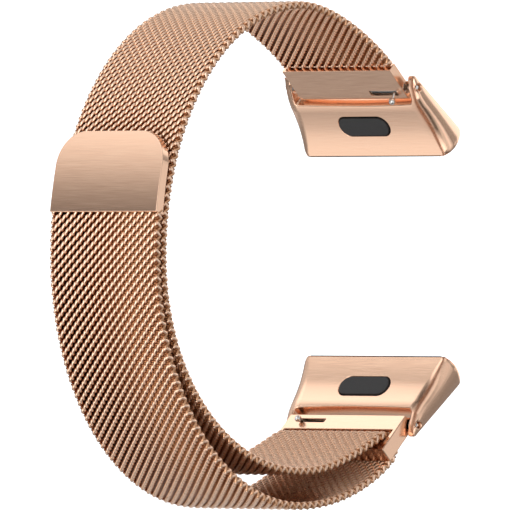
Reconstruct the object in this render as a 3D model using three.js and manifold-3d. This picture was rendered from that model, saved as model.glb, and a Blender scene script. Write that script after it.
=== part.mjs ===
// A woven-metal (Milanese) loop band with a magnetic clasp and two push-button case connectors.
// Millimetres. +Z runs up the loop, +X points from the wrist to the watch, Y runs across the band.
// The origin is the middle of the wrist opening.
import * as THREE from "three";
import { mergeVertices } from "three/addons/utils/BufferGeometryUtils.js";
import Module from "manifold-3d";

// ---------------------------------------------------------------- driving dimensions
const BAND_WIDTH = 20; // woven band, edge to edge
const MESH_THICKNESS = 1; // solid that stands for the weave
const LAYER_STEP = 1.2; // free end's mid-plane outside the band's mid-plane
const END_GAP = 0.3; // between one mesh length and the next piece

const LOOP_DEPTH = 26.85; // origin to the band's mid-line behind the wrist
const LOOP_TOP = 33.8; // origin to the mid-line at the top
const BAND_BOTTOM = 28.95; // origin down to the inner layer's mid-line
const FREE_BOTTOM = 33.6; // origin down to the free end's mid-line
const QUARTER = 0.5523; // handle length of a quarter ellipse

const PIVOT_X = 20.35; // spring-bar axis
const PIVOT_Z = 22.9;
const END_TILT = Math.PI / 4; // each connector's slope

const PLATE_FACES = [-0.9, 0.5]; // upper end piece's wrist side and outer side, local heights
const PLATE_REACH = 4.1; // spring-bar axis to the end piece's mesh side
const PLATE_NOSE = 1.45; // and to its front
const NOSE_RADIUS = 0.35; // front edge on the wrist side
const NOSE_SLOPE = 0.45; // how far the outer face's front edge is cut back
const PLATE_WIDTH = 20.1;
const PLATE_BARREL = 0.9;
const BARREL_RADIUS = 1; // loop frame's barrel
const BORE_RADIUS = 0.77;

const FRAME_WIDTH = 21.5; // lower loop frame, over its side arms
const FRAME_ARM = 0.6;
const FRAME_WRIST_SIDE = -1.7; // local heights of the frame's two faces
const FRAME_OUTER_SIDE = 0.6;
const FRAME_FRONT = 0.2; // axis to the frame's flat front
const FRAME_SLOT_EDGE = 2.5; // axis to the near edge of the slot
const FRAME_END = 6.3; // axis to the frame's far end
const BAR_RADIUS = (FRAME_OUTER_SIDE - FRAME_WRIST_SIDE) / 2;
const BAR_CENTRE = [-FRAME_END + BAR_RADIUS, (FRAME_OUTER_SIDE + FRAME_WRIST_SIDE) / 2];
const FOLD_RADIUS = BAR_RADIUS + 0.25 + MESH_THICKNESS / 2;
const FOLD_IN = 25; // heading, in degrees, at which the band reaches the fold
const FOLD_OUT = -139; // heading at which the free end leaves it

const SHELL_LENGTH = 9.76; // axis to the connector's case end
const SHELL_WALL = 0.8;
const NOTCH_DEPTH = 1.68; // axis to the notch's back wall
const NOTCH_WIDTH = 22;
const EAR_TIP = -1.63;
const OUTER_RISE = [0.85, 1.56]; // outer face height at the ear tips and at the case end
const PANEL = [ // wrist-side face, from the notch to the case end
  [NOTCH_DEPTH, -1.73],
  [3.85, -1.94],
  [6.05, -2.3],
  [8.02, -2.86],
  [SHELL_LENGTH, -3.46],
];
const SHELL_WIDTHS = [23.8, 24.2, 27.8]; // over the ear tips, at the notch, at the case end
const CAVITY_START = 3;
const CAVITY_WIDTH = 20.8;

const BUTTON_LENGTH = 9.1;
const BUTTON_WIDTH = 3.05;
const BUTTON_CENTRE = [5.23, -2.19];
const BUTTON_SLOPE = 0.169; // panel slope at the button, radians
const BUTTON_PROUD = 0.15;
const BUTTON_GAP = 0.12;

const TONGUE_WIDTH = 18;
const TONGUE_END = 11.2;
const TONGUE_FACES = [-1.45, 0.15];
const PLUG_START = 7.6;
const FLANGE_FACES = [-1.55, 0.35];
const ARM_WIDTH = 4.8; // latch
const ARM_CHANNEL_TOP = -0.3;
const LEAF_THICKNESS = 0.12;

const PIN_RADIUS = 0.36; // spring bar
const TUBE_RADII = [0.72, 0.5];
const TUBE_LENGTH = 19;
const BAR_SPAN = 23.8; // tip to tip
const EAR_HOLE = 0.48;
const SPRING_FROM_TO = [-3.4, 0.4];
const COIL_TURNS = 6;
const COIL_RADIUS = 0.28;
const COIL_WIRE = 0.09;
const LEVER_AT = -8; // lever's place across the band
const LEVER_RADIUS = 0.2;
const SLOT_HALF = 0.27; // half the width of the lever's slot in a tube and in the loop frame
const PLATE_SLOT = [0.25, 0.45]; // the end piece's slot: its lean, and half its width
const LEVER_SLOT = [-8.7, -3.6]; // the slots' ends across the band
const SLOT_DEPTH = 3; // each is cut from the axis through the wrist side
const LEVER_HEIGHT = { upper: 2.05, lower: 2.6 }; // axis to the middle of the knob
const KNOB_RADIUS = 0.48;
const LEVER_LEAN = { upper: 0.385, lower: -0.49 }; // radians about Y

const CLASP_OUTER = [ // the clasp's outer face, lower and upper ends
  [-28.5, 6],
  [-26.2, 16.82],
];
const CLASP_LOW_THICKNESS = 1.42;
const CLASP_TOP_THICKNESS = 1.15;
const CLASP_WIDTH = 19.9;
const CLASP_CORNER = 4.7;
const CLASP_SIDE = 0.3; // side and top walls
const CLASP_SKIN = 0.3; // outer wall
const CLASP_PLATE = 0.25; // inner wall
const CLASP_GAP = 0.2; // round the back plate
const MAGNET = [3.2, 4.4, 0.5]; // across, along and through the clasp
const MAGNET_STEP = 5.2;
const MAGNET_HEIGHT = 5.6; // from the clasp's lower end

// ---------------------------------------------------------------- finishes
const finish = (color, roughness, metalness) =>
  new THREE.MeshStandardMaterial({ color, roughness, metalness });
const ROSE_MESH = finish(0xd9a184, 0.35, 1);
const ROSE_SATIN = finish(0xe0ae90, 0.28, 1);
const STEEL = finish(0xc9c9c6, 0.2, 1);
const SPRING_STEEL = finish(0x9c9c9c, 0.3, 1);
const DARK_PLASTIC = finish(0x3c3c3e, 0.6, 0);
const MAGNET_NICKEL = finish(0x8e8c88, 0.35, 1);

// ---------------------------------------------------------------- solids
const wasm = await Module();
wasm.setup();

function solid(geometry) {
  const bare = geometry.index ? geometry.toNonIndexed() : geometry.clone();
  bare.deleteAttribute("normal");
  bare.deleteAttribute("uv");
  const merged = mergeVertices(bare, 1e-4);
  return new wasm.Manifold(
    new wasm.Mesh({
      numProp: 3,
      vertProperties: merged.attributes.position.array,
      triVerts: new Uint32Array(merged.index.array),
    }),
  );
}

function geometryOf(manifold) {
  const mesh = manifold.getMesh();
  const geometry = new THREE.BufferGeometry();
  geometry.setAttribute("position", new THREE.BufferAttribute(mesh.vertProperties, 3));
  geometry.setIndex(new THREE.BufferAttribute(mesh.triVerts, 1));
  geometry.computeVertexNormals();
  return geometry;
}

function node(name, geometry, material) {
  const mesh = new THREE.Mesh(geometry, material);
  mesh.name = name;
  return mesh;
}

// A closed outline of [x, z] points, carried across the band from y = from to y = to.
function across(points, from, to) {
  const shape = new THREE.Shape(points.map(([x, z]) => new THREE.Vector2(x, z)));
  const geometry = new THREE.ExtrudeGeometry(shape, {
    depth: to - from,
    bevelEnabled: false,
    curveSegments: 8,
  });
  return geometry.rotateX(Math.PI / 2).translate(0, to, 0);
}

function box(x0, x1, y0, y1, z0, z1) {
  const geometry = new THREE.BoxGeometry(x1 - x0, y1 - y0, z1 - z0);
  return geometry.translate((x0 + x1) / 2, (y0 + y1) / 2, (z0 + z1) / 2);
}

// A cylinder along Y between two places.
function rod(radius, from, to, sides = 16) {
  const geometry = new THREE.CylinderGeometry(radius, radius, to - from, sides);
  return geometry.translate(0, (from + to) / 2, 0);
}

function arcPoints([cx, cz], radius, start, end, steps) {
  return Array.from({ length: steps + 1 }, (_, i) => {
    const angle = THREE.MathUtils.degToRad(start + ((end - start) * i) / steps);
    return [cx + radius * Math.cos(angle), cz + radius * Math.sin(angle)];
  });
}

// ---------------------------------------------------------------- band routes
const at = (x, z) => new THREE.Vector3(x, 0, z);
const toward = ([x, z], degrees, distance) => {
  const angle = THREE.MathUtils.degToRad(degrees);
  return [x + distance * Math.cos(angle), z + distance * Math.sin(angle)];
};
// A place given in the lower end's tilted frame.
const lowerPlace = ([x, z]) => [
  PIVOT_X + (x + z) * Math.cos(END_TILT),
  -PIVOT_Z + (x - z) * Math.sin(END_TILT),
];
const FOLD_CENTRE = lowerPlace(BAR_CENTRE);
const FOLD_ENTRY = toward(FOLD_CENTRE, FOLD_IN + 90, FOLD_RADIUS);
const FOLD_EXIT = toward(FOLD_CENTRE, FOLD_OUT + 90, FOLD_RADIUS);

function bezierRoute(pieces) {
  const path = new THREE.CurvePath();
  for (const piece of pieces)
    path.add(new THREE.CubicBezierCurve3(...piece.map(([x, z]) => at(x, z))));
  path.arcLengthDivisions = 400;
  return path;
}

function quarter(from, to, vertical) {
  const corner = vertical ? [from[0], to[1]] : [to[0], from[1]];
  const handle = (end) => end.map((value, i) => value + (corner[i] - value) * QUARTER);
  return [from, handle(from), handle(to), to];
}

const PLATE_ROOT = [
  PIVOT_X - PLATE_REACH * Math.cos(END_TILT),
  PIVOT_Z + PLATE_REACH * Math.sin(END_TILT),
];
const TOP = [0, LOOP_TOP];
const BEHIND = [-LOOP_DEPTH, 0];
const BOTTOM = [0, -BAND_BOTTOM];
const bandRoute = bezierRoute([
  [PLATE_ROOT, toward(PLATE_ROOT, 135, 3), [7, LOOP_TOP], TOP],
  quarter(TOP, BEHIND, false),
  quarter(BEHIND, BOTTOM, true),
  [BOTTOM, [5.5, -BAND_BOTTOM], toward(FOLD_ENTRY, FOLD_IN + 180, 6.9), FOLD_ENTRY],
]);

const FREE_LOW = [0, -FREE_BOTTOM];
const FREE_BEHIND = [-LOOP_DEPTH - LAYER_STEP, 0];
const FREE_TOP = [0, LOOP_TOP + LAYER_STEP];
const freeRoute = bezierRoute([
  [FOLD_EXIT, toward(FOLD_EXIT, FOLD_OUT, 5), [7, -FREE_BOTTOM], FREE_LOW],
  quarter(FREE_LOW, FREE_BEHIND, false),
  quarter(FREE_BEHIND, FREE_TOP, true),
]);

// Points beside a route, a set distance to the outside of the loop, between two lengths along it.
function beside(route, outward, from, to, steps) {
  const length = route.getLength();
  return Array.from({ length: steps + 1 }, (_, i) => {
    const u = (from + ((to - from) * i) / steps) / length;
    const p = route.getPointAt(u);
    const t = route.getTangentAt(u);
    return [p.x + outward * t.z, p.z - outward * t.x];
  });
}

function lengthAtHeight(route, height, from) {
  const length = route.getLength();
  for (let s = from; s < length; s += 0.05)
    if (route.getPointAt(s / length).z > height) return s;
  return length;
}

// One length of woven band between two places along its route.
function meshLength(name, route, side, from, to) {
  const steps = Math.max(3, Math.round((to - from) / 2.6));
  const half = MESH_THICKNESS / 2;
  const near = beside(route, side * half, from, to, steps);
  const far = beside(route, -side * half, from, to, steps).reverse();
  const geometry = across([...near, ...far], -BAND_WIDTH / 2, BAND_WIDTH / 2);
  return node(name, geometry, ROSE_MESH);
}

function meshLengths(names, route, side, stops) {
  return names.map((name, i) =>
    meshLength(name, route, side, stops[i] + END_GAP / 2, stops[i + 1] - END_GAP / 2),
  );
}

function meshFold() {
  const start = FOLD_IN + 90;
  const end = FOLD_OUT + 90;
  const outer = arcPoints(FOLD_CENTRE, FOLD_RADIUS + MESH_THICKNESS / 2, start, end, 9);
  const inner = arcPoints(FOLD_CENTRE, FOLD_RADIUS - MESH_THICKNESS / 2, end, start, 9);
  const geometry = across([...outer, ...inner], -BAND_WIDTH / 2, BAND_WIDTH / 2);
  return node("mesh_fold", geometry, ROSE_MESH);
}

// ---------------------------------------------------------------- magnetic clasp
// It is a wedge drawn flat: x up the outer face from its lower end, y across, z outward from the face.
const claspSpan = CLASP_OUTER[1].map((value, i) => value - CLASP_OUTER[0][i]);
const CLASP_LENGTH = Math.hypot(...claspSpan);
const CLASP_TILT = Math.atan2(claspSpan[0], claspSpan[1]);
const CLASP_TAPER = (CLASP_LOW_THICKNESS - CLASP_TOP_THICKNESS) / CLASP_LENGTH;
const claspThickness = (x) => CLASP_LOW_THICKNESS - CLASP_TAPER * x;

// A wedge between two lengths and between two depths under the outer face, each a function of x.
function claspWedge([from, to], near, far, width, corner) {
  const half = width / 2;
  const plan = new THREE.Shape();
  plan.moveTo(from, -half);
  plan.lineTo(to - corner, -half);
  plan.absarc(to - corner, -half + corner, corner, -Math.PI / 2, 0, false);
  plan.absarc(to - corner, half - corner, corner, 0, Math.PI / 2, false);
  plan.lineTo(from, half);
  const outline = new THREE.ExtrudeGeometry(plan, {
    depth: 6,
    bevelEnabled: false,
    curveSegments: 6,
  });
  const profile = across(
    [
      [from, -near(from)],
      [to, -near(to)],
      [to, -far(to)],
      [from, -far(from)],
    ],
    -half - 1,
    half + 1,
  );
  return solid(profile).intersect(solid(outline.translate(0, 0, -4)));
}

function placedOnLoop(geometry) {
  const [x, z] = CLASP_OUTER[0];
  return geometry.rotateY(CLASP_TILT - Math.PI / 2).translate(x, 0, z);
}

function claspCover() {
  const outside = claspWedge(
    [0, CLASP_LENGTH],
    () => 0,
    claspThickness,
    CLASP_WIDTH,
    CLASP_CORNER,
  );
  const hollow = claspWedge(
    [-1, CLASP_LENGTH - CLASP_SIDE],
    () => CLASP_SKIN,
    (x) => claspThickness(x) + 1,
    CLASP_WIDTH - 2 * CLASP_SIDE,
    CLASP_CORNER - CLASP_SIDE,
  );
  const cover = geometryOf(outside.subtract(hollow));
  return node("clasp_cover", placedOnLoop(cover), ROSE_SATIN);
}

function claspBackPlate() {
  const inset = CLASP_SIDE + CLASP_GAP;
  const plate = claspWedge(
    [CLASP_GAP, CLASP_LENGTH - inset],
    (x) => claspThickness(x) - CLASP_PLATE,
    claspThickness,
    CLASP_WIDTH - 2 * inset,
    CLASP_CORNER - inset,
  );
  return node("clasp_back_plate", placedOnLoop(geometryOf(plate)), ROSE_SATIN);
}

function claspMagnet(index) {
  const [wide, long, thick] = MAGNET;
  const room = claspThickness(MAGNET_HEIGHT) - CLASP_SKIN - CLASP_PLATE;
  const geometry = new THREE.BoxGeometry(long, wide, thick);
  geometry.rotateY(-CLASP_TAPER / 2);
  geometry.translate(MAGNET_HEIGHT, (index - 1) * MAGNET_STEP, -CLASP_SKIN - room / 2);
  return node(`clasp_magnet_${index + 1}`, placedOnLoop(geometry), MAGNET_NICKEL);
}

function clasp() {
  const group = new THREE.Group();
  group.add(claspCover(), claspBackPlate(), ...[0, 1, 2].map(claspMagnet));
  return group;
}

// ---------------------------------------------------------------- end piece and loop frame
// Both are drawn in an end's tilted frame: +X to the watch, +Z away from the wrist, axis at 0, 0.
function leverSlot(lean, half) {
  const [from, to] = LEVER_SLOT;
  const cut = box(-half, half, from, to, -SLOT_DEPTH, 0);
  return solid(cut.rotateY(-lean));
}

function endPiece() {
  const [low, high] = PLATE_FACES;
  const nose = [PLATE_NOSE - NOSE_RADIUS, low + NOSE_RADIUS];
  const plate = across(
    [
      [-PLATE_REACH, low],
      ...arcPoints(nose, NOSE_RADIUS, -90, 0, 6),
      [PLATE_NOSE, high - NOSE_SLOPE],
      [PLATE_NOSE - NOSE_SLOPE, high],
      [-PLATE_REACH, high],
    ],
    -PLATE_WIDTH / 2,
    PLATE_WIDTH / 2,
  );
  const barrel = rod(PLATE_BARREL, -PLATE_WIDTH / 2, PLATE_WIDTH / 2, 24);
  const bore = rod(BORE_RADIUS, -PLATE_WIDTH, PLATE_WIDTH, 20);
  const body = solid(plate)
    .add(solid(barrel))
    .subtract(solid(bore))
    .subtract(leverSlot(...PLATE_SLOT));
  return node("upper_end_piece", geometryOf(body), ROSE_SATIN);
}

function loopFrame() {
  const side = FRAME_WIDTH / 2;
  const plate = box(
    -FRAME_SLOT_EDGE,
    FRAME_FRONT,
    -side,
    side,
    FRAME_WRIST_SIDE,
    FRAME_OUTER_SIDE,
  );
  const bar = across(
    [
      ...arcPoints(BAR_CENTRE, BAR_RADIUS, 90, -90, 10),
      [-FRAME_END, FRAME_WRIST_SIDE],
      [-FRAME_END, FRAME_OUTER_SIDE],
    ],
    -side,
    side,
  );
  const arm = (from, to) =>
    solid(box(BAR_CENTRE[0], -1, from, to, FRAME_WRIST_SIDE, FRAME_OUTER_SIDE));
  const body = solid(plate)
    .add(solid(rod(BARREL_RADIUS, -side, side, 24)))
    .add(solid(bar))
    .add(arm(-side, -side + FRAME_ARM))
    .add(arm(side - FRAME_ARM, side))
    .subtract(solid(rod(BORE_RADIUS, -FRAME_WIDTH, FRAME_WIDTH, 20)))
    .subtract(leverSlot(LEVER_LEAN.lower, SLOT_HALF));
  return node("loop_frame", geometryOf(body), ROSE_SATIN);
}

// ---------------------------------------------------------------- spring bar
function springBar(end) {
  const half = TUBE_LENGTH / 2;
  const [outer, inner] = TUBE_RADII;
  const tube = solid(rod(outer, -half, half))
    .subtract(solid(rod(inner, -TUBE_LENGTH, TUBE_LENGTH)))
    .subtract(leverSlot(LEVER_LEAN[end], SLOT_HALF));
  const fixedPin = rod(PIN_RADIUS, SPRING_FROM_TO[1] + 0.1, BAR_SPAN / 2, 12);
  const slidingPin = rod(PIN_RADIUS, -BAR_SPAN / 2, SPRING_FROM_TO[0] - 0.1, 12);
  const reach = LEVER_HEIGHT[end];
  const lever = rod(LEVER_RADIUS, -reach, 0, 8).rotateX(Math.PI / 2);
  const knob = new THREE.SphereGeometry(KNOB_RADIUS, 12, 8);
  const arm = solid(lever)
    .add(solid(knob.translate(0, 0, -reach)))
    .rotate([0, THREE.MathUtils.radToDeg(-LEVER_LEAN[end]), 0])
    .translate([0, LEVER_AT, 0]);
  const sliding = solid(slidingPin).add(arm);
  const group = new THREE.Group();
  group.add(
    node(`${end}_spring_bar_tube`, geometryOf(tube), STEEL),
    node(`${end}_spring_bar_pin`, fixedPin, STEEL),
    node(`${end}_release_lever`, geometryOf(sliding), STEEL),
    node(`${end}_spring_bar_spring`, coilSpring(), SPRING_STEEL),
  );
  return group;
}

function coilSpring() {
  const [from, to] = SPRING_FROM_TO;
  const steps = COIL_TURNS * 8;
  const points = Array.from({ length: steps + 1 }, (_, i) => {
    const angle = (2 * Math.PI * i) / 8;
    return new THREE.Vector3(
      COIL_RADIUS * Math.cos(angle),
      from + COIL_WIRE + ((to - from - 2 * COIL_WIRE) * i) / steps,
      COIL_RADIUS * Math.sin(angle),
    );
  });
  const section = new THREE.Shape();
  section.absarc(0, 0, COIL_WIRE, 0, 2 * Math.PI, false);
  return new THREE.ExtrudeGeometry(section, {
    steps,
    extrudePath: new THREE.CatmullRomCurve3(points),
    curveSegments: 5,
    bevelEnabled: false,
  });
}

// ---------------------------------------------------------------- case connector
function outerFace(x) {
  const [tips, caseEnd] = OUTER_RISE;
  return tips + ((caseEnd - tips) * (x - EAR_TIP)) / (SHELL_LENGTH - EAR_TIP);
}

// The button's outline, a bar with round ends, standing along its own direction of travel.
function buttonSlab(length, width, top, bottom) {
  const shape = new THREE.Shape();
  const straight = (length - width) / 2;
  shape.absarc(0, straight, width / 2, 0, Math.PI, false);
  shape.absarc(0, -straight, width / 2, Math.PI, 2 * Math.PI, false);
  const slab = new THREE.ExtrudeGeometry(shape, {
    depth: bottom - top,
    bevelEnabled: false,
    curveSegments: 10,
  });
  return slab
    .translate(0, 0, top)
    .rotateY(BUTTON_SLOPE)
    .translate(BUTTON_CENTRE[0], 0, BUTTON_CENTRE[1]);
}

function connectorShell(end) {
  const profile = [
    [EAR_TIP, OUTER_RISE[0]],
    [EAR_TIP + 0.1, 0.3],
    [-1.05, -0.2],
    [-0.53, -0.67],
    [0.46, -1.1],
    ...PANEL,
    [SHELL_LENGTH, OUTER_RISE[1]],
  ];
  const [tips, notch, caseEnd] = SHELL_WIDTHS.map((width) => width / 2);
  const plan = new THREE.Shape(
    [
      [EAR_TIP - 1, -tips],
      [NOTCH_DEPTH, -notch],
      [SHELL_LENGTH + 1, -caseEnd],
      [SHELL_LENGTH + 1, caseEnd],
      [NOTCH_DEPTH, notch],
      [EAR_TIP - 1, tips],
    ].map(([x, y]) => new THREE.Vector2(x, y)),
  );
  const planBody = new THREE.ExtrudeGeometry(plan, { depth: 8, bevelEnabled: false });
  const panelInside = PANEL.slice(1).map(([x, z]) => [x, z + SHELL_WALL]);
  const cavityEnd = SHELL_LENGTH + 1;
  const cavity = across(
    [
      [CAVITY_START, panelInside[0][1]],
      ...panelInside,
      [cavityEnd, panelInside.at(-1)[1]],
      [cavityEnd, outerFace(cavityEnd) - SHELL_WALL],
      [CAVITY_START, outerFace(CAVITY_START) - SHELL_WALL],
    ],
    -CAVITY_WIDTH / 2,
    CAVITY_WIDTH / 2,
  );
  const notchHalf = NOTCH_WIDTH / 2;
  const opening = buttonSlab(
    BUTTON_LENGTH + 2 * BUTTON_GAP,
    BUTTON_WIDTH + 2 * BUTTON_GAP,
    -1,
    SHELL_WALL + 0.4,
  );
  const body = solid(across(profile, -caseEnd - 1, caseEnd + 1))
    .intersect(solid(planBody.translate(0, 0, -5)))
    .subtract(solid(box(EAR_TIP - 1, NOTCH_DEPTH, -notchHalf, notchHalf, -4, 3)))
    .subtract(solid(rod(EAR_HOLE, -caseEnd - 1, caseEnd + 1)))
    .subtract(solid(cavity))
    .subtract(solid(opening));
  return node(`${end}_connector_shell`, geometryOf(body), ROSE_SATIN);
}

function casePlug(end) {
  const half = TONGUE_WIDTH / 2;
  const flangeHalf = CAVITY_WIDTH / 2 - 0.25;
  const tongue = box(PLUG_START, TONGUE_END, -half, half, ...TONGUE_FACES);
  const flange = box(PLUG_START, PLUG_START + 1.4, -flangeHalf, flangeHalf, ...FLANGE_FACES);
  const channelHalf = ARM_WIDTH / 2 + 0.25;
  const channel = box(0, TONGUE_END + 1, -channelHalf, channelHalf, -4, ARM_CHANNEL_TOP);
  const body = solid(tongue).add(solid(flange)).subtract(solid(channel));
  return node(`${end}_case_plug`, geometryOf(body), STEEL);
}

function releaseButton(end) {
  const cap = buttonSlab(BUTTON_LENGTH, BUTTON_WIDTH, -BUTTON_PROUD, SHELL_WALL + 0.15);
  const flange = buttonSlab(
    BUTTON_LENGTH + 0.9,
    BUTTON_WIDTH + 0.8,
    SHELL_WALL + 0.1,
    SHELL_WALL + 0.4,
  );
  const body = solid(cap).add(solid(flange));
  return node(`${end}_release_button`, geometryOf(body), DARK_PLASTIC);
}

function latch(end) {
  const profile = [
    [3.7, -0.4],
    [3.7, -0.72],
    [6.95, -0.72],
    [7.45, -1.3],
    [10.2, -1.3],
    [10.2, -1.85],
    [10.9, -1.6],
    [10.9, -0.95],
    [7.6, -0.95],
    [7.1, -0.4],
  ];
  const geometry = across(profile, -ARM_WIDTH / 2, ARM_WIDTH / 2);
  return node(`${end}_latch`, geometry, STEEL);
}

// A bowed leaf between the latch and the connector's outer wall.
function latchSpring(end) {
  const halfSpan = 2.1;
  const rise = 0.5;
  const radius = (halfSpan * halfSpan + rise * rise) / (2 * rise);
  const sweep = THREE.MathUtils.radToDeg(Math.asin(halfSpan / radius));
  const centre = [0, -0.36 + rise - radius];
  const outline = [
    ...arcPoints(centre, radius, 90 - sweep, 90 + sweep, 8),
    ...arcPoints(centre, radius + LEAF_THICKNESS, 90 + sweep, 90 - sweep, 8),
  ];
  const leaf = across(outline, -1, 1);
  leaf.rotateZ(Math.PI / 2).translate(5.2, 0, 0.04);
  return node(`${end}_latch_spring`, leaf, SPRING_STEEL);
}

function endAssembly(end) {
  const tilted = new THREE.Group();
  tilted.position.set(PIVOT_X, 0, PIVOT_Z);
  tilted.rotation.y = END_TILT;
  tilted.add(
    end === "upper" ? endPiece() : loopFrame(),
    springBar(end),
    connectorShell(end),
    casePlug(end),
    releaseButton(end),
    latch(end),
    latchSpring(end),
  );
  const group = new THREE.Group();
  group.add(tilted);
  if (end === "lower") group.rotation.x = Math.PI;
  return group;
}

// ---------------------------------------------------------------- whole band
const bandLength = bandRoute.getLength();
const bandMesh = meshLengths(
  [
    "mesh_upper_end",
    "mesh_top_front",
    "mesh_top_back",
    "mesh_upper_back",
    "mesh_under_clasp",
    "mesh_behind",
    "mesh_lower_back",
    "mesh_bottom",
    "mesh_lower_front",
  ],
  bandRoute,
  1,
  [0.1, 10, 22, 36, 50, 63, 77, 93, 110, bandLength],
);
const freeEnd = lengthAtHeight(freeRoute, CLASP_OUTER[0][1], 40) - END_GAP;
const freeMesh = meshLengths(
  ["mesh_free_front", "mesh_free_bottom", "mesh_free_lower_back", "mesh_free_behind"],
  freeRoute,
  -1,
  [0, 18, 36, 53, freeEnd],
);

const band = new THREE.Group();
band.add(
  ...bandMesh,
  meshFold(),
  ...freeMesh,
  clasp(),
  endAssembly("upper"),
  endAssembly("lower"),
);
export default band;
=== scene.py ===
"""Looks of a woven-metal (Milanese) watch band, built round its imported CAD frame.

Pieces are drawn in millimetres and scaled to metres as they are made. The band's route and the two tilted
ends repeat the CAD model's driving dimensions.
"""
import math

import bmesh
import bpy
import numpy as np
from mathutils import Matrix, Vector


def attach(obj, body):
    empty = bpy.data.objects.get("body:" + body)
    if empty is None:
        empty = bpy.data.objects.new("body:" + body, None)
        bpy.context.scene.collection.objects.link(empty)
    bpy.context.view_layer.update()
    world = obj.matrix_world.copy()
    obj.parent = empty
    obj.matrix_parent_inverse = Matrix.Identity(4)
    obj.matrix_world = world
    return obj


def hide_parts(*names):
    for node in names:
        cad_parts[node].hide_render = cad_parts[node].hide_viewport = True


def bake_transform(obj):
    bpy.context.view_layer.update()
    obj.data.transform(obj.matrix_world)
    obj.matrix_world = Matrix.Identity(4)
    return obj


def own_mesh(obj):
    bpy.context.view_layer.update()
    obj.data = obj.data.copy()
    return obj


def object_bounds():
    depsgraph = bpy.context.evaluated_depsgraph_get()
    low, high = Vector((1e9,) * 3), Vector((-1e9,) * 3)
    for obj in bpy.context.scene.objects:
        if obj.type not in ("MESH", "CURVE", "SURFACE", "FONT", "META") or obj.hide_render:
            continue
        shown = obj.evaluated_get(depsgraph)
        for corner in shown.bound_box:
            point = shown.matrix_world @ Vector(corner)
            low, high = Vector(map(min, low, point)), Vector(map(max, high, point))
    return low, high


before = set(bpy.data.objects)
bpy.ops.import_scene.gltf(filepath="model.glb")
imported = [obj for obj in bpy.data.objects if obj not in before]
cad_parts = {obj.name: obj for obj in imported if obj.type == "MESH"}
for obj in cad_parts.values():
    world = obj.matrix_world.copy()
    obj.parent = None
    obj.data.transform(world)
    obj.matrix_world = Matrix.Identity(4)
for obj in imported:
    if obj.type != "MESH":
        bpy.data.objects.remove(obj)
cad_box = [list(corner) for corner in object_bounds()]

MM = 0.001

# ---------------------------------------------------------------- driving dimensions, mm
LAYER_STEP = 1.2
LOOP_DEPTH = 26.85
LOOP_TOP = 33.8
BAND_BOTTOM = 28.95
FREE_BOTTOM = 33.6
QUARTER = 0.5523  # handle length of a quarter ellipse
CURVE_STEPS = 240

PIVOT = (20.35, 22.9)  # spring-bar axis, X and Z
PLATE_REACH = 4.1
FRAME_FACES = (-1.7, 0.6)
FRAME_END = 6.3
BAR_RADIUS = (FRAME_FACES[1] - FRAME_FACES[0]) / 2
BAR_CENTRE = (-FRAME_END + BAR_RADIUS, (FRAME_FACES[0] + FRAME_FACES[1]) / 2)
FOLD_GAP = 0.25  # from the bar to the weave
FOLD_HALF = 0.5  # half the thickness of the CAD strip that stands for the weave
FOLD_RADIUS = BAR_RADIUS + FOLD_GAP + FOLD_HALF
FOLD_IN = 25  # headings, in degrees, at which the band reaches and leaves the fold
FOLD_OUT = -139

# ---------------------------------------------------------------- weave, mm
WIRE_RADIUS = 0.24
ROW_PITCH = 0.6
COLUMN_PITCH = 1.39
SPIRAL_HALF = 0.47  # half a spiral's length along the band
FACE_HEIGHT = 0.36  # wire centre to the weave's mid-plane
FLATNESS = 0.55  # below 1, the spirals' faces are flatter than a sine wave
TURNS = 14
STEPS_PER_TURN = 10
WIRE_SIDES = 6
WIRE_REFERENCE = (0.0, 1.0, 0.0)  # the direction from which the corners round a wire are counted
EDGE_LOOPS = (0.06, 0.04)  # how far the loops at the edges stand out past the spirals' ends
EDGE_LOOP_STEPS = 6
SHADE_CORE = (0.24, 0.15)  # half-sizes of the dark wires that lie across the band inside the spirals: painted shade that fills the hollows and closes the view through the weave
END_TURN = 0.03  # how far each spiral's own last turn stands out
END_RADIUS = 0.17  # that turn's wire, drawn thin so that it stays below the edge loops, and painted dark as shadow between them
# Tone on the weave's ramp, from 0 down in the weave, dark with patina and painted shade, to 1 on its polished
# faces
EDGE_PAINTED_TONE = (1.0, 0.6)
# painted shadow: the last turns show as dark dots between the edge loops
END_PAINTED_TONE = 0.25
# painted shade: the cross wires are kept dark like the hollows they fill
CORE_PAINTED_TONE = 0.1

CLASP_OUTER = ((-28.5, 6.0), (-26.2, 16.82))  # its outer face, lower and upper ends
CLASP_THICKNESS = (1.42, 1.15)
CLASP_WIDTH = 19.9
CLASP_CORNER = 4.7
CLASP_WALL = 0.3
CLASP_BOW = 0.2  # how far the outer face stands out midway
CLASP_SLICE = 0.7

PLATE_FACES = (-0.9, 0.5)
PLATE_NOSE = 1.45
NOSE_RADIUS = 0.35
NOSE_SLOPE = 0.45
PLATE_WIDTH = 20.1
PLATE_BARREL = 0.9
BARREL_RADIUS = 1.0
BORE_RADIUS = 0.77
BARREL_SIDES = 64
FRAME_WIDTH = 21.5
FRAME_ARM = 0.6
FRAME_ARM_END = -1
FRAME_FRONT = 0.2
FRAME_SLOT_EDGE = 2.5

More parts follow.
